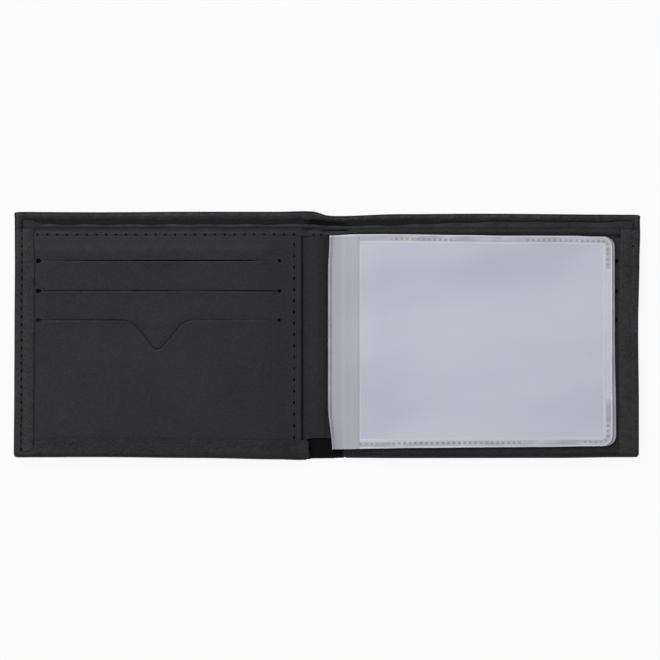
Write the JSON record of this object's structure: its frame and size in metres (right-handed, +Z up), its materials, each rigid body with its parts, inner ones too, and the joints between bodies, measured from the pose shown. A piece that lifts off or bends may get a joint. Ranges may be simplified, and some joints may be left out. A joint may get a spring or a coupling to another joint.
{
  "type": "bifold wallet",
  "caption": "Black leather bifold wallet lying open, with a bill compartment, slit card pockets on both halves and a milky plastic paper sleeve sewn along the fold.",
  "frame": {"origin": "on the surface the open wallet lies on, under the middle of the fold", "axes": "+X along the open width towards the half with the plastic sleeve, +Y towards the mouth of the bill compartment, +Z up out of the inside of the wallet"},
  "size_m": [0.2292, 0.09, 0.0084],
  "materials": {
    "leather": "smooth fine-grained black leather, satin",
    "lining": "fine woven black lining",
    "thread": "waxed black sewing thread",
    "film": "milky frosted soft plastic film"
  },
  "bodies": {
    "left_half": {"left_cover": "leather", "left_lining": "lining", "left_bill_divider": "leather", "left_upper_pocket_backing": "leather", "left_middle_pocket_backing": "leather", "left_lower_pocket_backing": "leather", "left_pocket_panel": "leather", "left_panel_top_seam": "thread", "left_panel_inner_seam": "thread", "left_side_hem_seam": "thread"},
    "spine": {"spine_cover": "leather", "spine_lining": "lining", "fold_strip": "leather", "fold_strip_seam": "thread", "lower_leaf_binding": "film", "upper_leaf_binding": "film", "sleeve_seam": "thread"},
    "right_half": {"right_cover": "leather", "right_lining": "lining", "right_bill_divider": "leather", "right_upper_pocket_backing": "leather", "right_middle_pocket_backing": "leather", "right_lower_pocket_backing": "leather", "right_pocket_panel": "leather", "right_panel_top_seam": "thread", "right_panel_inner_seam": "thread", "right_side_hem_seam": "thread"},
    "lower_leaf": {"lower_leaf_back_film": "film", "lower_leaf_front_film": "film"},
    "upper_leaf": {"upper_leaf_back_film": "film", "upper_leaf_front_film": "film"}
  },
  "joints": [
    {"name": "spine_fold", "type": "hinge", "parent": "left_half", "child": "spine", "pos_m": [-0.00598, 0, 0.00178], "axis": [0, 1, 0], "range_deg": [-90, 0]},
    {"name": "right_fold", "type": "hinge", "parent": "spine", "child": "right_half", "pos_m": [0.00598, 0, 0.00178], "axis": [0, 1, 0], "range_deg": [-90, 0]},
    {"name": "upper_leaf_turn", "type": "hinge", "parent": "right_half", "child": "upper_leaf", "pos_m": [0.007, 0, 0.0077], "axis": [0, -1, 0], "range_deg": [0, 180], "deforming": ["upper_leaf_binding"]},
    {"name": "lower_leaf_turn", "type": "hinge", "parent": "right_half", "child": "lower_leaf", "pos_m": [0.007, 0, 0.0077], "axis": [0, -1, 0], "range_deg": [0, 180], "deforming": ["lower_leaf_binding"]}
  ],
  "couplings": [
    {"joint": "right_fold", "follows": "spine_fold", "ratio": 1},
    {"joint": "lower_leaf_turn", "follows": "upper_leaf_turn", "ratio": 0.97}
  ]
}
